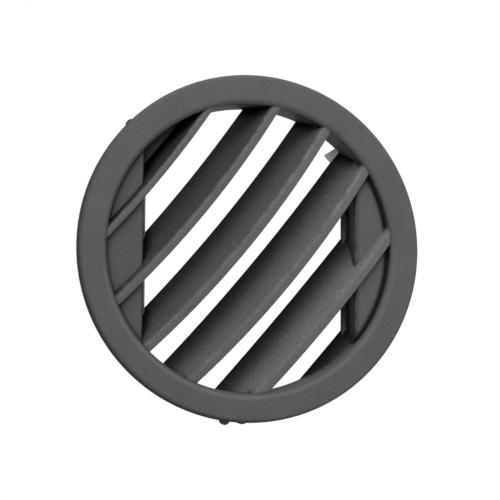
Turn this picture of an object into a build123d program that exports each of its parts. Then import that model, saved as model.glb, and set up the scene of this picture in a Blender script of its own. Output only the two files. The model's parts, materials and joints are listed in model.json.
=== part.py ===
from build123d import *
import os
from math import cos, radians, sin, sqrt, tan

# Round louvre insert of a dashboard air vent, moulded in one piece of grey plastic.
# It stands as it is fitted: X to the right, Z up, and its face looks towards -Y.
# The origin is on the vent's axis, in the plane where the flange seats on its panel.
# Sizes are in millimetres and angles in degrees.

# Flange and collar
flange_radius = 40.0
flange_thickness = 2.4
opening_radius = 33.3
collar_wall = 2.0
collar_length = 6.9
rim_round = 0.9
lip_round = 1.2
seat_edge_chamfer = 0.3
collar_lead_in = 0.6

# Shelves that close the opening on the left and right
shelf_offset = 24.8
shelf_recess = 2.0
shelf_thickness = 1.8
shelf_edge_round = 0.8
side_wall = 1.8
ledge_projection = 1.15
ledge_thickness = 1.2

# Web that closes the narrow corner above the first blade, deeper than the shelves
corner_web_offset = 31.0
corner_web_recess = 4.2

# Blades, from the upper left down: each has its own lean from the vent's axis, front thickness
# and bows. They fan out a little, evenly about one place in the row.
blade_tilts = (28.0, 33.3, 37.4, 40.9, 41.1, 36.9)
blade_front_thicknesses = (1.8, 2.1, 2.3, 2.3, 2.3, 2.3)
blade_front_bow_radii = (224.0, 224.0, 224.0, 224.0, 340.0, 340.0)
blade_rear_bow_radii = (340.0, 340.0, 340.0, 470.0, 850.0, 850.0)
blade_slope = 50.9
blade_fan = 0.4
fan_centre = 1.5
blade_pitch = 12.86
first_blade_offset = 26.0
blade_recess = 0.65
blade_rear_thickness = 1.6
blade_nose_round = 0.7

# Gate nibs left on the rim: direction seen from the front, height above the rim, half width
gate_nibs = ((135.6, 0.42, 1.3), (261.2, 0.85, 1.2), (266.9, 0.3, 1.8))

# Rounded edges of the ring and the blades are made of this many flats
flats_per_round = 4

# Planes and radii that follow from the sizes above
front_y = -flange_thickness
rear_y = collar_length
collar_radius = opening_radius + collar_wall
root_radius = opening_radius + collar_wall / 2
blade_front_y = front_y + blade_recess
shelf_front_y = front_y + shelf_recess
pocket_front_y = shelf_front_y + shelf_thickness
corner_web_front_y = front_y + corner_web_recess


def quarter_turn(start):
    """Angles from start to a quarter turn on, one for each corner between the flats of a round."""
    return [radians(start + 90 * step / flats_per_round) for step in range(flats_per_round + 1)]


def drum(radius, start_y, end_y):
    """A round bar on the vent's axis, from start_y back to end_y."""
    disc = Plane(origin=(0, start_y, 0), x_dir=(1, 0, 0), z_dir=(0, 1, 0)) * Circle(radius)
    return extrude(disc, end_y - start_y)


def slab(start_x, end_x, start_y, end_y):
    """An upright slab between two X and two Y planes, taller than the opening."""
    size = Box(abs(end_x - start_x), end_y - start_y, 2 * collar_radius)
    return Pos((start_x + end_x) / 2, (start_y + end_y) / 2, 0) * size


def ring():
    """The flange and its collar: one outline of radius and depth, turned about the axis."""

    def rounded(radius, size, start):
        turns = quarter_turn(start)
        return [(radius + size * cos(turn), front_y + size + size * sin(turn)) for turn in turns]

    outline = Polyline(
        *rounded(opening_radius + lip_round, lip_round, 180),
        *rounded(flange_radius - rim_round, rim_round, 270),
        (flange_radius, -seat_edge_chamfer),
        (flange_radius - seat_edge_chamfer, 0),
        (collar_radius, 0),
        (collar_radius, rear_y - collar_lead_in),
        (collar_radius - collar_lead_in, rear_y),
        (opening_radius, rear_y),
        close=True,
    )
    return revolve(make_face(outline), Axis.Y)


def shelf(side):
    """One side shelf, with the upright wall behind its inner edge and the ledge at the wall's foot."""
    block = slab(side * shelf_offset, side * root_radius, shelf_front_y, rear_y)
    front_edges = block.edges().filter_by(Axis.Z).group_by(Axis.Y)[0]
    inner_edge = front_edges.sort_by(lambda edge: abs(edge.center().X))[0]
    block = fillet(inner_edge, shelf_edge_round)
    ledge_x = shelf_offset - ledge_projection
    ledge = slab(side * ledge_x, side * (shelf_offset + side_wall), rear_y - ledge_thickness, rear_y)
    return (block + ledge) & drum(root_radius, front_y, rear_y)


def shelf_pocket(side):
    """The hollow behind a shelf, between its upright wall and the collar, open at the back."""
    hollow = slab(side * (shelf_offset + side_wall), side * collar_radius, pocket_front_y, rear_y)
    return hollow & drum(opening_radius, front_y, rear_y)


def blade_plane(y, offset=0.0, turn=0.0):
    """The plane across the axis at y, moved to the upper left by offset, with its x along a blade."""
    slope = radians(blade_slope)
    along = radians(blade_slope + turn)
    origin = (-offset * sin(slope), y, offset * cos(slope))
    return Plane(origin=origin, x_dir=(cos(along), 0, sin(along)), z_dir=(0, -1, 0))


def blade_section(index, y, nose_cut=0.0):
    """A blade's bowed strip in the plane at y: two like arcs, a thickness apart less the nose's cut."""
    depth = (y - blade_front_y) / (rear_y - blade_front_y)
    lean = (y - blade_front_y) * tan(radians(blade_tilts[index]))
    thickness = (1 - depth) * blade_front_thicknesses[index] + depth * blade_rear_thickness
    bow_radius = 1 / ((1 - depth) / blade_front_bow_radii[index] + depth / blade_rear_bow_radii[index])
    reach = flange_radius
    rise = bow_radius - sqrt(bow_radius**2 - reach**2)
    far = lean + thickness - nose_cut
    near_arc = ThreePointArc((-reach, lean + rise), (0, lean), (reach, lean + rise))
    far_arc = ThreePointArc((-reach, far + rise), (0, far), (reach, far + rise))
    ends = [Line(near_arc @ end, far_arc @ end) for end in (0, 1)]
    place = blade_plane(y, first_blade_offset - index * blade_pitch, blade_fan * (fan_centre - index))
    return place * make_face([near_arc, far_arc, *ends])


def blade(index):
    """One leaning blade, ruled from strip to strip: the flats of its nose, then back to its rear edge."""
    nose = [
        blade_section(
            index, blade_front_y + blade_nose_round * (1 - cos(turn)), blade_nose_round * (1 - sin(turn))
        )
        for turn in quarter_turn(0)
    ]
    body = loft([*nose, blade_section(index, rear_y)], ruled=True)
    return body & drum(root_radius, front_y, rear_y)


def corner_web():
    """The web that fills the corner above the first blade, with its edge along the blades."""
    width = collar_radius - corner_web_offset
    strip = Pos(0, corner_web_offset + width / 2) * Rectangle(2 * collar_radius, width)
    bar = extrude(blade_plane(rear_y) * strip, rear_y - corner_web_front_y)
    return bar & drum(root_radius, front_y, rear_y)


def gate_nib(direction, height, half_width):
    """A rounded stub on the rim, between the front round and the chamfer at the seat."""
    centre_radius = flange_radius + height - half_width
    turn = radians(direction)
    stub = drum(half_width, front_y + rim_round, -seat_edge_chamfer)
    return Pos(centre_radius * cos(turn), 0, centre_radius * sin(turn)) * stub


def vent_grille():
    """The whole moulding: ring, shelves, web and blades, less the pockets behind the shelves."""
    body = ring() + corner_web()
    for side in (-1, 1):
        body += shelf(side)
    for index in range(len(blade_tilts)):
        body += blade(index)
    for side in (-1, 1):
        body -= shelf_pocket(side)
    for nib in gate_nibs:
        body += gate_nib(*nib)
    return body


os.makedirs("parts", exist_ok=True)
export_step(vent_grille(), "parts/vent_grille.step")
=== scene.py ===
import json
from types import SimpleNamespace

import bmesh
import bpy
import numpy as np
from mathutils import Matrix, Vector


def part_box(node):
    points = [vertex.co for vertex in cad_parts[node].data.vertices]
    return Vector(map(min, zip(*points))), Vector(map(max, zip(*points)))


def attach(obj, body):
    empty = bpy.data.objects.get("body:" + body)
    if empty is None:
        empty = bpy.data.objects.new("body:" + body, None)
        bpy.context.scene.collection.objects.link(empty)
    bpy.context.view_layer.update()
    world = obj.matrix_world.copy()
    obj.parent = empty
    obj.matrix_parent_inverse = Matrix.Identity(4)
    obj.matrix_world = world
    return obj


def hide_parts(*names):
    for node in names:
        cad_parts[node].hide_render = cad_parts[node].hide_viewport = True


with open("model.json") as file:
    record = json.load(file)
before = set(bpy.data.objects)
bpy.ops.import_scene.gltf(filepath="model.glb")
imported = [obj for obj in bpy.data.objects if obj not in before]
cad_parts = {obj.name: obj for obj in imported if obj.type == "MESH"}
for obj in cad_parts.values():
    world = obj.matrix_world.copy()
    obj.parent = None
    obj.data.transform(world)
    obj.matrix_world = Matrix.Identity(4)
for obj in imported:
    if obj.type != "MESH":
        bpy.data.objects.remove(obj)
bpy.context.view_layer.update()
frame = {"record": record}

# A round louvre insert of a dashboard air vent, moulded in one piece of charcoal plastic.
# X is to the right, Z up, and the face looks towards -Y. Sizes are in metres, written in millimetres.
MM = 0.001

# Sizes that the frame gives
NODE = "vent_grille"
lowest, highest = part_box(NODE)
collar = next(mount for mount in frame["record"]["mounts"] if mount["name"] == "collar")
FLANGE_RADIUS = highest.x
FRONT_Y = lowest.y
REAR_Y = highest.y
COLLAR_RADIUS = collar["dims"]["r_mm"] * MM

# Ring
COLLAR_WALL = 2.0 * MM
OPENING_RADIUS = COLLAR_RADIUS - COLLAR_WALL
ROOT_RADIUS = COLLAR_RADIUS - COLLAR_WALL / 2
RIM_ROUND = 0.9 * MM
LIP_ROUND = 1.2 * MM
SEAT_EDGE_CHAMFER = 0.3 * MM
COLLAR_LEAD_IN = 0.6 * MM

# Side shelves, and the web above the first blade
SHELF_OFFSET = 24.8 * MM
SHELF_RECESS = 2.0 * MM
SHELF_THICKNESS = 1.8 * MM
SHELF_EDGE_ROUND = 0.8 * MM
SIDE_WALL = 1.8 * MM
LEDGE_PROJECTION = 1.15 * MM
LEDGE_THICKNESS = 1.2 * MM
WEB_OFFSET = 31.0 * MM
WEB_RECESS = 4.2 * MM
SHELF_FRONT_Y = FRONT_Y + SHELF_RECESS
POCKET_FRONT_Y = SHELF_FRONT_Y + SHELF_THICKNESS
LEDGE_FRONT_Y = REAR_Y - LEDGE_THICKNESS
LEDGE_X = SHELF_OFFSET - LEDGE_PROJECTION
POCKET_X = SHELF_OFFSET + SIDE_WALL
WEB_FRONT_Y = FRONT_Y + WEB_RECESS

# Blades, from the upper left down: each has its own lean, front thickness and bows, and they fan out
# evenly about one place in the row
BLADE_TILTS = np.radians([28.0, 33.3, 37.4, 40.9, 41.1, 36.9])
BLADE_FRONT_THICKNESSES = np.array([1.8, 2.1, 2.3, 2.3, 2.3, 2.3]) * MM
BLADE_FRONT_BOW_RADII = np.array([224.0, 224.0, 224.0, 224.0, 340.0, 340.0]) * MM
BLADE_REAR_BOW_RADII = np.array([340.0, 340.0, 340.0, 470.0, 850.0, 850.0]) * MM
BLADE_COUNT = len(BLADE_TILTS)
BLADE_SLOPE = np.radians(50.9)
FAN_DEGREES = 0.4
FAN_CENTRE = 1.5
BLADE_TURNS = np.radians(FAN_DEGREES * (FAN_CENTRE - np.arange(BLADE_COUNT)))
BLADE_PITCH = 12.86 * MM
FIRST_BLADE_OFFSET = 26.0 * MM
FOURTH_BLADE = 3
BLADE_RECESS = 0.65 * MM
BLADE_FRONT_Y = FRONT_Y + BLADE_RECESS
BLADE_REAR_THICKNESS = 1.6 * MM
RIDGE_ROUND = 0.7 * MM
NOSE_EDGE_ROUND = 0.15 * MM
NOSE_CROWN = 0.16 * MM

# Gate nibs on the rim: direction seen from the front, height above the rim, half width
GATE_NIBS = (
    (np.radians(135.6), 0.42 * MM, 1.3 * MM),
    (np.radians(261.2), 0.85 * MM, 1.2 * MM),
    (np.radians(266.9), 0.3 * MM, 1.8 * MM),
)

# Flash left by the mould above the fourth blade's rear edge: its corners along and across the blades
FLASH_CORNERS = MM * np.array(
    [(29.8, -2.9), (30.0, -1.4), (30.2, -0.6), (32.4, -1.3), (33.8, -1.7), (33.8, -2.9)]
)
FLASH_THICKNESS = 0.3 * MM

# Directions along and across the blades, seen from the front
ALONG = np.array([np.cos(BLADE_SLOPE), 0.0, np.sin(BLADE_SLOPE)])
ACROSS = np.array([-np.sin(BLADE_SLOPE), 0.0, np.cos(BLADE_SLOPE)])
BACK = np.array([0.0, 1.0, 0.0])

# How finely the surfaces are divided, and what is too small to keep
RING_STEPS = 360
BAR_STEPS = 120
ROUND_STEPS = 10
FACE_STEPS = 12
SMOOTH_ANGLE = np.radians(28.0)
MERGE_DISTANCE = 1e-7
SLIVER_WIDTH = 1e-6

# Plastic: its colours, the sizes of its noises, and its grain and sheen
PLASTIC_COLOUR = (0.105, 0.105, 0.106)
FLASH_COLOUR = (0.85, 0.85, 0.85)
CLOUD_SCALE = 160.0
SCUFF_SCALE = 420.0
FLASH_CLOUD_SCALE = 900.0
BLOTCH_SCALE = 1300.0
GRAIN_SCALE = 2600.0
BROAD_DETAIL = 3.0
FINE_DETAIL = 2.0
NOISE_SPREAD = (0.3, 0.7)
CLOUD_TONES = (0.95, 1.05)
GRAIN_TONES = (0.88, 1.12)
FLASH_TONES = (0.88, 1.1)
BLOTCH_SPREAD = (0.35, 0.72)
BLOTCH_TONES = (0.92, 1.15)
ROUGHNESS = (0.5, 0.7)
GRAIN_STRENGTH = 0.25
GRAIN_HEIGHT = 0.06 * MM
SPECULAR_TONES = (0.0, 0.9)
SPECULAR_LEVELS = (0.01, 0.13)
EVEN_SPECULAR = 0.12

# Ways that surfaces face, as the normal's share across the blades, aside or up
BLADE_FACING = (0.05, 0.2)
FACE_FACING = (0.3, 0.7)
RIDGE_START_FACING = (0.05, 0.3)
RIDGE_END_FACING = (0.6, 0.8)
WALL_ASIDE = (0.35, 0.85)
WALL_UP = (0.1, 0.25)

# Tones by which places are lighter or darker than the ring, mostly painted light and shade, and where those
# places start and end
EDGE_BLEND = 0.3 * MM
DEEP = (SHELF_FRONT_Y, 2 * MM)
# Painted light and shade on the blades' faces: lighter behind the noses and to the lower right, darker to
# the back
FACE_LIGHT_ACROSS = (26 * MM, -25.4 * MM)
FACE_SHADE_DEPTH = (-0.4 * MM, 7.4 * MM)
FACE_SHADE_RAGGED = 0.5 * MM
FRONT_TONES = (0.28, 1.42)
REAR_TONES = (0.38, 0.14)
# Painted shade on the first blade's face under the lip, and on the last blade's face
FIRST_BLADE_ACROSS = (21 * MM, 27 * MM)
FIRST_BLADE_TONE = 0.2
LAST_BLADE_ACROSS = (-24 * MM, -30 * MM)
LAST_BLADE_TONE = 0.6
# Painted shadow where the ring's top shades the blades' upper ends
UPPER_END_REACH = 3 * MM
UPPER_END_HEIGHT = (0.0, 10 * MM)
UPPER_END_TONE = 0.1
# Painted highlight on the noses, lighter towards their right ends
NOSE_RUN = (0.0, 50 * MM)
NOSE_TONES = (1.16, 1.42)
# Painted shade: the left shelf darker than the right one, and the right shelf's rounded inner edge darker
SHELF_TONES = (0.86, 0.98)
SHELF_EDGE_TONE = 0.3
SHELF_EDGE_REACH = 1.5 * MM
# Painted shade on the web above the first blade
WEB_DEPTH = (0.5 * MM, 1.5 * MM)
WEB_TONE = 0.5
# Painted light: the ledges at the walls' feet made four times lighter
LEDGE_DEPTH = (4 * MM, 5 * MM)
LEDGE_TONE = 4.0
# Wear in scuffs on the ridges, with a painted highlight that grows towards the blades' upper ends
RIDGE_HIGHLIGHT_RUN = (-20 * MM, 30 * MM)
RIDGE_HIGHLIGHT_SHARES = (0.3, 1.0)
SCUFF_SPREAD = (0.4, 0.65)
RIDGE_WEAR_AND_HIGHLIGHT = 0.5
# Painted shade on the upright walls
WALL_TONE = 0.3
# Painted shade in corners, by how open each point lies, and on the collar's inner wall
CORNER_REACH = 3 * MM
CORNER_SAMPLES = 8
CORNER_OPENNESS = (0.4, 0.85)
CORNER_TONE = 0.25
COLLAR_END = (OPENING_RADIUS + 0.2 * MM, OPENING_RADIUS + 0.5 * MM)
COLLAR_TONE = 0.75
# Painted shadow in the crease round the opening
CREASE_INSETS = (-0.35 * MM, 0.6 * MM)
CREASE_REACH = 1.0 * MM
CREASE_TONES = (0.5, 0.05)
# Painted light and shade on the lip, and a painted highlight along its edge at the bottom
LIP_START = (OPENING_RADIUS - 0.2 * MM, OPENING_RADIUS)
LIP_END = (OPENING_RADIUS + 0.2 * LIP_ROUND, OPENING_RADIUS + 0.8 * LIP_ROUND)
LIP_LIGHT_SIDE = (np.cos(np.radians(45)), 0.0, np.sin(np.radians(45)))
LIP_TONES = (0.65, 1.4)
LIP_EDGE_START = (OPENING_RADIUS + 0.3 * LIP_ROUND, OPENING_RADIUS + 0.7 * LIP_ROUND)
LIP_EDGE_END = (OPENING_RADIUS + LIP_ROUND, OPENING_RADIUS + 1.4 * LIP_ROUND)
LIP_EDGE_HEIGHT = (0.0, -20 * MM)
LIP_EDGE_TONE = 1.28
# Painted shade on the rounded rim at the lower left
RIM_REACH = 1.5 * MM
RIM_SLANT = 0.6
RIM_LOWER_LEFT = (-5 * MM, -30 * MM)
RIM_TONE = 0.55

# Camera, from the photograph's framing
IMAGE_WIDTH_PIXELS = 500
FOCAL_LENGTH_PIXELS = 1311
SENSOR_WIDTH = 36.0
CAMERA_DISTANCE = 300 * MM
CAMERA_LEFT = np.radians(12.42)
CAMERA_BELOW = np.radians(3.59)
CAMERA_ROLL = np.radians(-0.28)
AIM_RIGHT = 0.597 * MM
AIM_UP = 0.588 * MM
CLIP_START = 10 * MM

# Stage. Each lamp has a name, degrees to the right of the front, degrees above it, and a level.
WHITE = (1, 1, 1, 1)
EVEN_LIGHT = 0.02
FLOOR_Z = -300 * MM
FLOOR_RADIUS = 1200 * MM
FLOOR_COLOUR = (0.5, 0.5, 0.5, 1)
FLOOR_ROUGHNESS = 0.9
FLOOR_GLOW_RADII = (0.3 * FLOOR_RADIUS, 0.8 * FLOOR_RADIUS)
FLOOR_GLOW = (0.75, 1.0)
LAMP_DISTANCE = 420 * MM
LAMP_SIZE = 200 * MM
LAMPS = (
    ("left_top", -30, 55, 0.56),
    ("right_top", 36, 55, 0.33),
    ("right", 36, -12, 0.35),
    ("left", -30, 10, 0.19),
)


def quarter_round(start):
    """Angles over a quarter turn from start, in radians."""
    return start + np.linspace(0.0, np.pi / 2, ROUND_STEPS)


def corner(x, y, size, start):
    """A rounded corner: the quarter circle of that size about (x, y), from the angle start on."""
    turn = quarter_round(start)
    return np.stack([x + size * np.cos(turn), y + size * np.sin(turn)], axis=-1)


def outline(*stretches):
    """Points and arrays of points, put end to end as one closed outline."""
    return np.concatenate([np.reshape(stretch, (-1, 2)) for stretch in stretches])


def grid_faces(rows, columns, close_rows, close_columns):
    """Quads of a grid of points, with the last row or column joined to the first where it closes."""
    row = np.arange(rows if close_rows else rows - 1)
    column = np.arange(columns if close_columns else columns - 1)
    row, column = np.meshgrid(row, column, indexing="ij")
    next_row = (row + 1) % rows
    next_column = (column + 1) % columns
    corners = [(row, column), (row, next_column), (next_row, next_column), (next_row, column)]
    return np.stack([r * columns + c for r, c in corners], axis=-1).reshape(-1, 4)


def piece_from(name, points, faces):
    """A mesh object at the origin, made of points and faces."""
    mesh = bpy.data.meshes.new(name)
    mesh.from_pydata(points.reshape(-1, 3), [], faces)
    mesh.validate()
    piece = bpy.data.objects.new(name, mesh)
    bpy.context.scene.collection.objects.link(piece)
    return piece


def swept_bar(name, section):
    """A closed bar: section[row, column] holds its outline, in rows, at each station, in columns.
    The sides are the grid of outline by station, and each end is closed by its own outline."""
    rows, columns = section.shape[:2]
    sides = grid_faces(rows, columns, close_rows=True, close_columns=False)
    first_end = np.arange(rows) * columns
    last_end = first_end[::-1] + columns - 1
    return piece_from(name, section, [*sides.tolist(), first_end.tolist(), last_end.tolist()])


def turned(name, profile):
    """A ring: the closed profile of radius r and depth y, turned about the vent's axis.
    P(r, y, a) = (r cos a, y, r sin a), for a once round."""
    angle = np.linspace(0.0, 2 * np.pi, RING_STEPS, endpoint=False)
    radius, depth = profile[:, 0, None], profile[:, 1, None]
    points = np.stack([radius * np.cos(angle), depth + 0 * angle, radius * np.sin(angle)], axis=-1)
    faces = grid_faces(len(profile), RING_STEPS, close_rows=True, close_columns=True)
    return piece_from(name, points, faces.tolist())


def drum(name, radius, start_y, end_y):
    """A round bar on the vent's axis: the circle (r cos a, r sin a), carried from start_y back to end_y."""
    angle = np.linspace(0.0, 2 * np.pi, RING_STEPS, endpoint=False)[:, None]
    depth = np.array([start_y, end_y])
    points = np.broadcast_arrays(radius * np.cos(angle), depth, radius * np.sin(angle))
    return swept_bar(name, np.stack(points, axis=-1))


def ring():
    """The flange, with its rounded rim and lip, and the collar behind it: one profile, turned."""
    profile = outline(
        corner(OPENING_RADIUS + LIP_ROUND, FRONT_Y + LIP_ROUND, LIP_ROUND, np.pi),
        corner(FLANGE_RADIUS - RIM_ROUND, FRONT_Y + RIM_ROUND, RIM_ROUND, 1.5 * np.pi),
        (FLANGE_RADIUS, -SEAT_EDGE_CHAMFER),
        (FLANGE_RADIUS - SEAT_EDGE_CHAMFER, 0.0),
        (COLLAR_RADIUS, 0.0),
        (COLLAR_RADIUS, REAR_Y - COLLAR_LEAD_IN),
        (COLLAR_RADIUS - COLLAR_LEAD_IN, REAR_Y),
        (OPENING_RADIUS, REAR_Y),
    )
    return turned("ring", profile)


def blade_section(index):
    """Outline of a blade at its middle, as depth y and offset c across the blade: back to front along the
    near face, over the crowned nose, and to the rear edge along the far face. The blade leans by its tilt,
    c = (y - front) tan(tilt), its thickness runs from the front value to the rear one, and the nose falls
    back from the ridge to the near edge with the square of the distance."""
    near_edge_y = BLADE_FRONT_Y + NOSE_CROWN
    near_y = np.linspace(REAR_Y, near_edge_y + NOSE_EDGE_ROUND, FACE_STEPS, endpoint=False)
    far_y = np.linspace(REAR_Y, BLADE_FRONT_Y + RIDGE_ROUND, FACE_STEPS, endpoint=False)[::-1]
    turn = quarter_round(0.0)
    edge_y = near_edge_y + NOSE_EDGE_ROUND * (1 - np.cos(turn[::-1]))
    edge_shift = NOSE_EDGE_ROUND * (1 - np.sin(turn[::-1]))
    from_ridge = np.linspace(1.0, 0.0, FACE_STEPS + 1, endpoint=False)[1:]
    nose_y = BLADE_FRONT_Y + NOSE_CROWN * from_ridge**2
    nose_width = BLADE_FRONT_THICKNESSES[index] - NOSE_EDGE_ROUND - RIDGE_ROUND
    nose_shift = NOSE_EDGE_ROUND + (1 - from_ridge) * nose_width
    ridge_y = BLADE_FRONT_Y + RIDGE_ROUND * (1 - np.cos(turn))
    ridge_shift = -RIDGE_ROUND * (1 - np.sin(turn))
    depth = np.concatenate([near_y, edge_y, nose_y, ridge_y, far_y])
    shift = np.concatenate([0 * near_y, edge_shift, nose_shift, ridge_shift, 0 * far_y])
    near_count = len(near_y) + len(edge_y) + len(nose_y)
    on_far_side = np.arange(len(depth)) >= near_count
    share = (depth - BLADE_FRONT_Y) / (REAR_Y - BLADE_FRONT_Y)
    thickness = (1 - share) * BLADE_FRONT_THICKNESSES[index] + share * BLADE_REAR_THICKNESS
    lean = (depth - BLADE_FRONT_Y) * np.tan(BLADE_TILTS[index])
    return depth, lean + shift + on_far_side * thickness


def bowed_bar(name, index, depth, offset):
    """A bar that bows and turns like a blade: its section carried along s, rising across the blade by
    R - sqrt(R2 - s2), where 1/R runs from the front bow's to the rear bow's with depth. It is turned by
    the blade's share of the fan, t, about its middle m: P(s, y, c) = m across + s along(t)
    + (c + rise) across(t) + y back."""
    share = (depth - BLADE_FRONT_Y) / (REAR_Y - BLADE_FRONT_Y)
    bow = 1 / ((1 - share) / BLADE_FRONT_BOW_RADII[index] + share / BLADE_REAR_BOW_RADII[index])
    station = np.linspace(-FLANGE_RADIUS, FLANGE_RADIUS, BAR_STEPS)
    rise = bow[:, None] - np.sqrt(bow[:, None] ** 2 - station**2)
    across = offset[:, None] + rise
    turn = BLADE_TURNS[index]
    points = (
        (FIRST_BLADE_OFFSET - index * BLADE_PITCH) * ACROSS
        + station[:, None] * (np.cos(turn) * ALONG + np.sin(turn) * ACROSS)
        + across[..., None] * (np.cos(turn) * ACROSS - np.sin(turn) * ALONG)
        + depth[:, None, None] * BACK
    )
    return swept_bar(name, points)


def blade(index):
    """A bowed, leaning blade."""
    return bowed_bar(f"blade_{index + 1}", index, *blade_section(index))


def room_above(index):
    """The room above a blade, from its mid-thickness up: it leans, bows and turns as the blade does."""
    depth = np.array([BLADE_FRONT_Y, REAR_Y, REAR_Y, BLADE_FRONT_Y])
    rise = np.array([0.0, 0.0, SHELF_OFFSET, SHELF_OFFSET]) + BLADE_REAR_THICKNESS / 2
    return bowed_bar("room", index, depth, (depth - BLADE_FRONT_Y) * np.tan(BLADE_TILTS[index]) + rise)


def upright_bar(name, section):
    """A bar whose outline of x and y is carried straight up, from the bottom of the opening to its top."""
    height = np.linspace(-ROOT_RADIUS, ROOT_RADIUS, BAR_STEPS)
    points = np.broadcast_arrays(section[:, 0, None], section[:, 1, None], height)
    return swept_bar(name, np.stack(points, axis=-1))


def shelf(side):
    """A side shelf, as an outline carried up: its front with a rounded inner edge, the upright wall behind
    it and the ledge at the wall's foot, with the hollow behind the shelf left open."""
    section = outline(
        corner(SHELF_OFFSET + SHELF_EDGE_ROUND, SHELF_FRONT_Y + SHELF_EDGE_ROUND, SHELF_EDGE_ROUND, np.pi),
        (ROOT_RADIUS, SHELF_FRONT_Y),
        (ROOT_RADIUS, POCKET_FRONT_Y),
        (POCKET_X, POCKET_FRONT_Y),
        (POCKET_X, REAR_Y),
        (LEDGE_X, REAR_Y),
        (LEDGE_X, LEDGE_FRONT_Y),
        (SHELF_OFFSET, LEDGE_FRONT_Y),
    )
    return upright_bar("shelf_left" if side < 0 else "shelf_right", section * (side, 1))


def shelf_pocket(side):
    """The room behind a shelf, from its wall out past the collar, which no blade crosses."""
    beyond_y = REAR_Y + COLLAR_WALL
    section = outline(
        (POCKET_X, POCKET_FRONT_Y),
        (COLLAR_RADIUS, POCKET_FRONT_Y),
        (COLLAR_RADIUS, beyond_y),
        (POCKET_X, beyond_y),
    )
    return upright_bar("pocket", section * (side, 1))


def corner_web():
    """The web that fills the corner above the first blade: an oblong of offset and depth, carried along
    the blades."""
    station = np.linspace(-FLANGE_RADIUS, FLANGE_RADIUS, BAR_STEPS)
    section = outline(
        (WEB_OFFSET, WEB_FRONT_Y),
        (WEB_OFFSET, REAR_Y),
        (COLLAR_RADIUS, REAR_Y),
        (COLLAR_RADIUS, WEB_FRONT_Y),
    )
    points = (
        station[None, :, None] * ALONG
        + section[:, 0, None, None] * ACROSS
        + section[:, 1, None, None] * BACK
    )
    return swept_bar("corner_web", points)


def gate_nib(direction, height, half_width):
    """A stub left on the rim, between the front round and the chamfer at the seat."""
    stub = drum("gate_nib", half_width, FRONT_Y + RIM_ROUND, -SEAT_EDGE_CHAMFER)
    centre_radius = FLANGE_RADIUS + height - half_width
    place = (centre_radius * np.cos(direction), 0.0, centre_radius * np.sin(direction))
    stub.data.transform(Matrix.Translation(place))
    return stub


def face_outwards(piece):
    """Turns a closed mesh the right way out, after its doubles are merged."""
    work = bmesh.new()
    work.from_mesh(piece.data)
    bmesh.ops.remove_doubles(work, verts=work.verts, dist=MERGE_DISTANCE)
    bmesh.ops.recalc_face_normals(work, faces=work.faces)
    work.to_mesh(piece.data)
    work.free()


def without_slivers(piece):
    """Dissolves the faces of no width that cuts leave where surfaces lie in one plane."""
    work = bmesh.new()
    work.from_mesh(piece.data)
    bmesh.ops.dissolve_degenerate(work, dist=SLIVER_WIDTH, edges=work.edges)
    work.to_mesh(piece.data)
    work.free()


def cut_with(piece, others, operation):
    """The piece united with, kept inside or cut by each of the others, which are then removed."""
    for other in others:
        step = piece.modifiers.new(other.name, "BOOLEAN")
        step.operation = operation
        step.solver = "MANIFOLD"
        step.object = other
    shaped = piece.evaluated_get(bpy.context.evaluated_depsgraph_get())
    mesh = bpy.data.meshes.new_from_object(shaped)
    piece.modifiers.clear()
    piece.data = mesh
    for other in others:
        bpy.data.objects.remove(other)


def trimmed_right_shelf():
    """The right shelf, without the corner that would stand out above the fourth blade."""
    right_shelf = shelf(1)
    room = room_above(FOURTH_BLADE)
    face_outwards(right_shelf)
    face_outwards(room)
    cut_with(right_shelf, [room], "DIFFERENCE")
    return right_shelf


def moulding():
    """The whole vent as one closed mesh: blades, shelves and web inside the collar, then the ring."""
    blades = [blade(index) for index in range(BLADE_COUNT)]
    closures = [shelf(-1), trimmed_right_shelf(), corner_web()]
    pockets = [shelf_pocket(-1), shelf_pocket(1)]
    core = drum("core", ROOT_RADIUS, FRONT_Y - MM, REAR_Y + MM)
    outer = [ring(), *(gate_nib(*nib) for nib in GATE_NIBS)]
    for piece in (*blades, *closures, *pockets, core, *outer):
        face_outwards(piece)
    body = blades[0]
    cut_with(body, blades[1:], "UNION")
    cut_with(body, pockets, "DIFFERENCE")
    cut_with(body, closures, "UNION")
    cut_with(body, [core], "INTERSECT")
    cut_with(body, outer, "UNION")
    without_slivers(body)
    body.name = "vent_moulding"
    body.data.name = "vent_moulding"
    body.data.polygons.foreach_set("use_smooth", np.ones(len(body.data.polygons), bool))
    body.data.set_sharp_from_angle(angle=SMOOTH_ANGLE)
    return body


def flash_tab():
    """A thin plate: the flash's outline, carried back to the blades' rear edges."""
    along, across = FLASH_CORNERS[:, 0, None, None], FLASH_CORNERS[:, 1, None, None]
    depth = np.array([REAR_Y - FLASH_THICKNESS, REAR_Y])[None, :, None]
    tab = swept_bar("flash_tab", along * ALONG + across * ACROSS + depth * BACK)
    face_outwards(tab)
    return tab


def new_material(name):
    """A material made of nodes, with its tree and its shader."""
    material = bpy.data.materials.new(name)
    material.use_nodes = True
    return material, material.node_tree, material.node_tree.nodes["Principled BSDF"]


def wire(tree, kind, inputs=None, **settings):
    """A node of that kind, with its settings, and its inputs set to values or linked from sockets."""
    made = tree.nodes.new(kind)
    for name, value in settings.items():
        setattr(made, name, value)
    for name, value in (inputs or {}).items():
        if isinstance(value, bpy.types.NodeSocket):
            tree.links.new(value, made.inputs[name])
        else:
            made.inputs[name].default_value = value
    return made


def ramp(tree, value, start, end, low, high, smooth=False):
    """A value run from low at start to high at end, held at both ends."""
    kind = "SMOOTHSTEP" if smooth else "LINEAR"
    inputs = {"Value": value, "From Min": start, "From Max": end, "To Min": low, "To Max": high}
    return wire(tree, "ShaderNodeMapRange", inputs, interpolation_type=kind).outputs["Result"]


def rising(tree, value, start, end):
    """A share that runs from 0 at start to 1 at end."""
    return ramp(tree, value, start, end, 0.0, 1.0)


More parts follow.
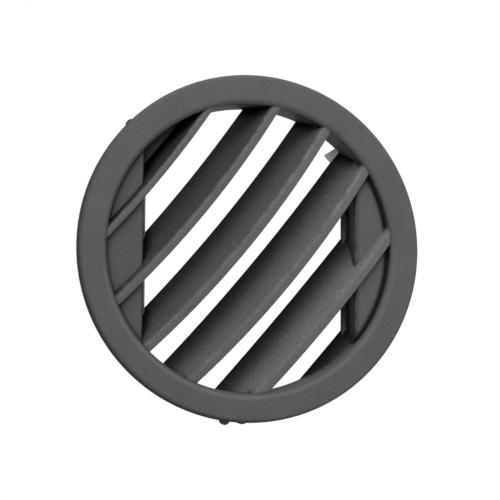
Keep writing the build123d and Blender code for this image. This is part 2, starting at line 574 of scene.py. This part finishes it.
def falling(tree, value, start, end):
    """A share that runs from 1 at start to 0 at end."""
    return ramp(tree, value, start, end, 1.0, 0.0)


def reckon(tree, operation, *values):
    """One step of arithmetic on values or sockets."""
    step = wire(tree, "ShaderNodeMath", operation=operation)
    for socket, value in zip(step.inputs, values):
        if isinstance(value, bpy.types.NodeSocket):
            tree.links.new(value, socket)
        else:
            socket.default_value = value
    return step.outputs[0]


def product(tree, *values):
    """The values multiplied together."""
    result = values[0]
    for value in values[1:]:
        result = reckon(tree, "MULTIPLY", result, value)
    return result


def mixed(tree, share, without, within):
    """The value without, changed into the value within by a share from 0 to 1."""
    return wire(tree, "ShaderNodeMix", {"Factor": share, "A": without, "B": within}).outputs["Result"]


def toned(tree, colour, tone):
    """A fixed colour made lighter or darker by a tone."""
    step = wire(tree, "ShaderNodeVectorMath", {"Scale": tone}, operation="SCALE")
    step.inputs[0].default_value = colour
    return step.outputs["Vector"]


def along_direction(tree, vector, direction):
    """How far a vector socket reaches along a fixed direction."""
    step = wire(tree, "ShaderNodeVectorMath", operation="DOT_PRODUCT")
    tree.links.new(vector, step.inputs[0])
    step.inputs[1].default_value = direction
    return step.outputs["Value"]


def length_of(tree, vector):
    """The length of a vector socket."""
    step = wire(tree, "ShaderNodeVectorMath", operation="LENGTH")
    tree.links.new(vector, step.inputs[0])
    return step.outputs["Value"]


def radius_from_axis(tree, place):
    """Distance from the vent's axis."""
    from_axis = wire(tree, "ShaderNodeVectorMath", operation="MULTIPLY")
    tree.links.new(place, from_axis.inputs[0])
    from_axis.inputs[1].default_value = (1, 0, 1)
    return length_of(tree, from_axis.outputs["Vector"])


def noise(tree, place, scale, detail):
    """Even noise from 0 to 1 over the object."""
    inputs = {"Vector": place, "Scale": scale, "Detail": detail}
    return wire(tree, "ShaderNodeTexNoise", inputs).outputs["Fac"]


def readings(tree):
    """Where a point of the surface is, which way it faces, the noises there, and how open it lies."""
    coordinates = wire(tree, "ShaderNodeTexCoord").outputs
    place, facing = coordinates["Object"], coordinates["Normal"]
    crevices = wire(
        tree,
        "ShaderNodeAmbientOcclusion",
        {"Distance": CORNER_REACH},
        samples=CORNER_SAMPLES,
        only_local=True,
    )
    return SimpleNamespace(
        x=along_direction(tree, place, (1, 0, 0)),
        z=along_direction(tree, place, (0, 0, 1)),
        depth=along_direction(tree, place, BACK),
        to_light_side=along_direction(tree, place, LIP_LIGHT_SIDE),
        along=along_direction(tree, place, ALONG),
        across=along_direction(tree, place, ACROSS),
        radius=radius_from_axis(tree, place),
        faces_across=along_direction(tree, facing, ACROSS),
        faces_aside=reckon(tree, "ABSOLUTE", along_direction(tree, facing, (1, 0, 0))),
        faces_up=reckon(tree, "ABSOLUTE", along_direction(tree, facing, (0, 0, 1))),
        clouds=noise(tree, place, CLOUD_SCALE, BROAD_DETAIL),
        scuffs=noise(tree, place, SCUFF_SCALE, BROAD_DETAIL),
        blotches=noise(tree, place, BLOTCH_SCALE, FINE_DETAIL),
        grain=noise(tree, place, GRAIN_SCALE, FINE_DETAIL),
        openness=crevices.outputs["AO"],
    )


def blade_face_tone(tree, at):
    """The blades' faces, in painted light and shade: lighter behind the noses, the more so to the lower
    right, with painted shade to the back, on the first and last blades, and at the upper ends beside the
    collar."""
    ragged = ramp(tree, at.clouds, *NOISE_SPREAD, -FACE_SHADE_RAGGED, FACE_SHADE_RAGGED)
    # Painted light and shade: lighter near the noses, darker towards the back, with a ragged edge between
    front_lit = falling(tree, reckon(tree, "ADD", at.depth, ragged), *FACE_SHADE_DEPTH)
    front = ramp(tree, at.across, *FACE_LIGHT_ACROSS, *FRONT_TONES)
    rear = ramp(tree, at.across, *FACE_LIGHT_ACROSS, *REAR_TONES)
    rear = product(tree, rear, ramp(tree, at.across, *FIRST_BLADE_ACROSS, 1.0, FIRST_BLADE_TONE))
    last = ramp(tree, at.across, *LAST_BLADE_ACROSS, 1.0, LAST_BLADE_TONE)
    near_collar = rising(tree, at.radius, OPENING_RADIUS - UPPER_END_REACH, OPENING_RADIUS - EDGE_BLEND)
    deep = rising(tree, at.depth, *DEEP)
    high = rising(tree, at.z, *UPPER_END_HEIGHT)
    upper_end = mixed(tree, product(tree, near_collar, deep, high), 1.0, UPPER_END_TONE)
    return product(tree, mixed(tree, front_lit, rear, front), last, upper_end)


def front_tone(tree, at):
    """The surfaces that face forward inside the ring, in painted light and shade: noses with a painted
    highlight, shelves shaded to the left and at the right one's inner edge, the web in painted shade, and
    lighter ledges.
    """
    # Painted shade on the right shelf's rounded inner edge
    past_edge = ramp(tree, at.x, SHELF_OFFSET, SHELF_OFFSET + SHELF_EDGE_REACH, SHELF_EDGE_TONE, 1.0)
    before_edge = falling(tree, at.x, SHELF_OFFSET - MM, SHELF_OFFSET)
    right_edge = reckon(tree, "MAXIMUM", past_edge, before_edge)
    shelf_tone = product(tree, ramp(tree, at.x, -SHELF_OFFSET, SHELF_OFFSET, *SHELF_TONES), right_edge)
    # Painted highlight on the noses, stronger to the right
    to_the_right = reckon(tree, "SUBTRACT", at.along, at.across)
    nose_tone = ramp(tree, to_the_right, *NOSE_RUN, *NOSE_TONES)
    shallow = ramp(tree, at.depth, BLADE_FRONT_Y, SHELF_FRONT_Y, nose_tone, shelf_tone)
    on_web = rising(tree, at.depth, *WEB_DEPTH)
    on_ledge = rising(tree, at.depth, *LEDGE_DEPTH)
    return mixed(tree, on_ledge, mixed(tree, on_web, shallow, WEB_TONE), LEDGE_TONE)


def ridge_wear_and_highlight(tree, at):
    """Wear and a painted highlight on the ridges of the noses, in scuffs, the more so towards the blades'
    upper ends.
    """
    past_nose = rising(tree, at.faces_across, *RIDGE_START_FACING)
    before_face = falling(tree, at.faces_across, *RIDGE_END_FACING)
    upward = ramp(tree, at.along, *RIDGE_HIGHLIGHT_RUN, *RIDGE_HIGHLIGHT_SHARES)
    scuffed = ramp(tree, at.scuffs, *SCUFF_SPREAD, 0.0, RIDGE_WEAR_AND_HIGHLIGHT)
    return product(tree, past_nose, before_face, upward, scuffed)


def wall_tone(tree, at):
    """The upright walls beside the gaps, darkened as painted shade."""
    sideways = rising(tree, at.faces_aside, *WALL_ASIDE)
    upright = falling(tree, at.faces_up, *WALL_UP)
    return mixed(tree, product(tree, sideways, upright), 1.0, WALL_TONE)


def corner_tone(tree, at):
    """Painted shade in the corners that other surfaces close in, and on the collar's inner wall."""
    closed_in = ramp(tree, at.openness, *CORNER_OPENNESS, CORNER_TONE, 1.0)
    on_collar = product(
        tree,
        rising(tree, at.radius, OPENING_RADIUS - EDGE_BLEND, OPENING_RADIUS),
        falling(tree, at.radius, *COLLAR_END),
        rising(tree, at.depth, *DEEP),
    )
    return product(tree, closed_in, mixed(tree, on_collar, 1.0, COLLAR_TONE))


def crease_tone(tree, at):
    """Painted shadow in the crease round the opening, at the front of the shelves, darker to the right."""
    inset = ramp(tree, at.x, -OPENING_RADIUS, OPENING_RADIUS, *CREASE_INSETS)
    aside = reckon(tree, "ADD", reckon(tree, "SUBTRACT", at.radius, OPENING_RADIUS), inset)
    below = reckon(tree, "SUBTRACT", at.depth, SHELF_FRONT_Y)
    squares = reckon(tree, "ADD", product(tree, aside, aside), product(tree, below, below))
    darkest = ramp(tree, at.x, -OPENING_RADIUS, OPENING_RADIUS, *CREASE_TONES)
    return ramp(tree, reckon(tree, "SQRT", squares), 0.0, CREASE_REACH, darkest, 1.0)


def lip_tone(tree, at):
    """The ring's rounded lip in painted light and shade: lighter at the upper right, darker at the lower
    left, and with a painted highlight along its edge at the bottom."""
    on_lip = product(tree, rising(tree, at.radius, *LIP_START), falling(tree, at.radius, *LIP_END))
    by_side = ramp(tree, at.to_light_side, -OPENING_RADIUS, OPENING_RADIUS, *LIP_TONES)
    on_edge = product(
        tree,
        rising(tree, at.radius, *LIP_EDGE_START),
        falling(tree, at.radius, *LIP_EDGE_END),
        rising(tree, at.z, *LIP_EDGE_HEIGHT),
    )
    return product(tree, mixed(tree, on_lip, 1.0, by_side), mixed(tree, on_edge, 1.0, LIP_EDGE_TONE))


def rim_tone(tree, at):
    """Painted shade on the rounded rim, at the lower left."""
    at_edge = ramp(tree, at.radius, FLANGE_RADIUS - RIM_REACH, FLANGE_RADIUS, 0.0, 1.0, smooth=True)
    lower_left = rising(tree, reckon(tree, "MULTIPLY_ADD", at.z, RIM_SLANT, at.x), *RIM_LOWER_LEFT)
    return mixed(tree, product(tree, at_edge, lower_left), 1.0, RIM_TONE)


def charcoal_plastic():
    """Fine-grained charcoal plastic with a low sheen: faint clouds of tone, light blotches and a moulded
    grain,
    with painted light and shade: blade faces lighter to the lower right and darker to the back, painted
    highlights on the noses and lip, worn ridges with a painted highlight, lighter ledges, and painted shade
    in the corners, creases, walls, shelves, web and on the rim. Darker places, painted shade among them,
    shine less, and the even level serves where no link is read."""
    material, tree, shader = new_material("charcoal_plastic")
    at = readings(tree)
    on_face = rising(tree, at.faces_across, *FACE_FACING)
    within = mixed(tree, on_face, front_tone(tree, at), blade_face_tone(tree, at))
    within = reckon(tree, "ADD", within, ridge_wear_and_highlight(tree, at))
    on_blades = rising(tree, at.faces_across, *BLADE_FACING)
    blotched = mixed(tree, on_blades, 1.0, ramp(tree, at.blotches, *BLOTCH_SPREAD, *BLOTCH_TONES))
    within = product(tree, within, blotched, wall_tone(tree, at))
    inside = falling(tree, at.radius, OPENING_RADIUS - EDGE_BLEND, OPENING_RADIUS)
    tone = mixed(tree, inside, 1.0, within)
    # Painted shade in the corners, the crease round the opening and on the rim
    painted_shade = product(tree, corner_tone(tree, at), crease_tone(tree, at), rim_tone(tree, at))
    clouds = ramp(tree, at.clouds, *NOISE_SPREAD, *CLOUD_TONES)
    grain = ramp(tree, at.grain, *NOISE_SPREAD, *GRAIN_TONES)
    tone = product(tree, tone, lip_tone(tree, at), painted_shade, clouds, grain)
    tree.links.new(toned(tree, PLASTIC_COLOUR, tone), shader.inputs["Base Color"])
    tree.links.new(ramp(tree, at.grain, *NOISE_SPREAD, *ROUGHNESS), shader.inputs["Roughness"])
    relief = {"Height": at.grain, "Strength": GRAIN_STRENGTH, "Distance": GRAIN_HEIGHT}
    tree.links.new(wire(tree, "ShaderNodeBump", relief).outputs["Normal"], shader.inputs["Normal"])
    # The sheen follows the tone, so it drops where shade is painted
    shine = shader.inputs["Specular IOR Level"]
    shine.default_value = EVEN_SPECULAR
    tree.links.new(ramp(tree, tone, *SPECULAR_TONES, *SPECULAR_LEVELS), shine)
    return material


def pale_flash():
    """Plastic so thin that it looks pale, cloudy where it is thicker."""
    material, tree, shader = new_material("pale_flash")
    place = wire(tree, "ShaderNodeTexCoord").outputs["Object"]
    clouds = noise(tree, place, FLASH_CLOUD_SCALE, BROAD_DETAIL)
    tone = ramp(tree, clouds, *NOISE_SPREAD, *FLASH_TONES)
    tree.links.new(toned(tree, FLASH_COLOUR, tone), shader.inputs["Base Color"])
    tree.links.new(ramp(tree, clouds, *NOISE_SPREAD, *ROUGHNESS), shader.inputs["Roughness"])
    return material


def seen_or_reflected(tree):
    """1 for a ray from the camera, a reflection or a transmission, and 0 for light that falls on things."""
    path = wire(tree, "ShaderNodeLightPath").outputs
    reflected = reckon(tree, "MAXIMUM", path["Is Glossy Ray"], path["Is Transmission Ray"])
    return reckon(tree, "MAXIMUM", path["Is Camera Ray"], reflected)


def studio_world():
    """White where it is seen, and a dim even light everywhere else."""
    world = bpy.data.worlds.new("studio")
    bpy.context.scene.world = world
    world.use_nodes = True
    tree = world.node_tree
    background = tree.nodes["Background"]
    background.inputs["Color"].default_value = WHITE
    level = ramp(tree, seen_or_reflected(tree), 0.0, 1.0, EVEN_LIGHT, 1.0)
    tree.links.new(level, background.inputs["Strength"])


def pale_floor():
    """A round pale floor below the vent, which its mount holds up. To the eye it glows, white towards its
    edge and a little less below the vent, so that shadows show there."""
    angle = np.linspace(0.0, 2 * np.pi, RING_STEPS, endpoint=False)
    circle = [FLOOR_RADIUS * np.cos(angle), FLOOR_RADIUS * np.sin(angle), FLOOR_Z + 0 * angle]
    floor = piece_from("floor", np.stack(circle, axis=-1), [np.arange(RING_STEPS).tolist()])
    material, tree, shader = new_material("pale_floor")
    shader.inputs["Base Color"].default_value = FLOOR_COLOUR
    shader.inputs["Roughness"].default_value = FLOOR_ROUGHNESS
    shader.inputs["Emission Color"].default_value = WHITE
    from_middle = length_of(tree, wire(tree, "ShaderNodeTexCoord").outputs["Object"])
    glow = ramp(tree, from_middle, *FLOOR_GLOW_RADII, *FLOOR_GLOW, smooth=True)
    tree.links.new(product(tree, glow, seen_or_reflected(tree)), shader.inputs["Emission Strength"])
    floor.data.materials.append(material)


def softbox(name, azimuth, elevation, level):
    """A square area lamp that looks at the vent's middle, from azimuth to the right of the front and
    elevation above it. At level 1 it alone would render a surface that faces it about as it is coloured."""
    turn, climb = np.radians([azimuth, elevation])
    outward = Vector((np.cos(climb) * np.sin(turn), -np.cos(climb) * np.cos(turn), np.sin(climb)))
    data = bpy.data.lights.new(name, "AREA")
    data.size = LAMP_SIZE
    data.energy = level * (np.pi * LAMP_DISTANCE) ** 2
    lamp = bpy.data.objects.new(name, data)
    lamp.location = LAMP_DISTANCE * outward
    lamp.rotation_euler = (-outward).to_track_quat("-Z", "Y").to_euler()
    bpy.context.scene.collection.objects.link(lamp)


def camera():
    """A camera at the photograph's angle: to the left of the axis and a little below it."""
    data = bpy.data.cameras.new("camera")
    data.sensor_width = SENSOR_WIDTH
    data.lens = FOCAL_LENGTH_PIXELS / IMAGE_WIDTH_PIXELS * SENSOR_WIDTH
    data.clip_start = CLIP_START
    eye = bpy.data.objects.new("camera", data)
    face_centre = Matrix.Translation((0, FRONT_Y, 0))
    turn = Matrix.Rotation(-CAMERA_LEFT, 4, "Z") @ Matrix.Rotation(CAMERA_BELOW, 4, "X")
    turn = turn @ Matrix.Rotation(CAMERA_ROLL, 4, "Y") @ Matrix.Rotation(np.pi / 2, 4, "X")
    eye.matrix_world = face_centre @ turn @ Matrix.Translation((-AIM_RIGHT, -AIM_UP, CAMERA_DISTANCE))
    bpy.context.scene.collection.objects.link(eye)
    bpy.context.scene.camera = eye


vent = moulding()
vent.data.materials.clear()
vent.data.materials.append(charcoal_plastic())
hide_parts(NODE)
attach(vent, "root")

tab = flash_tab()
tab.data.materials.append(pale_flash())
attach(tab, "root")

camera()
pale_floor()
studio_world()
for lamp in LAMPS:
    softbox(*lamp)
bpy.context.scene.view_settings.view_transform = "Standard"
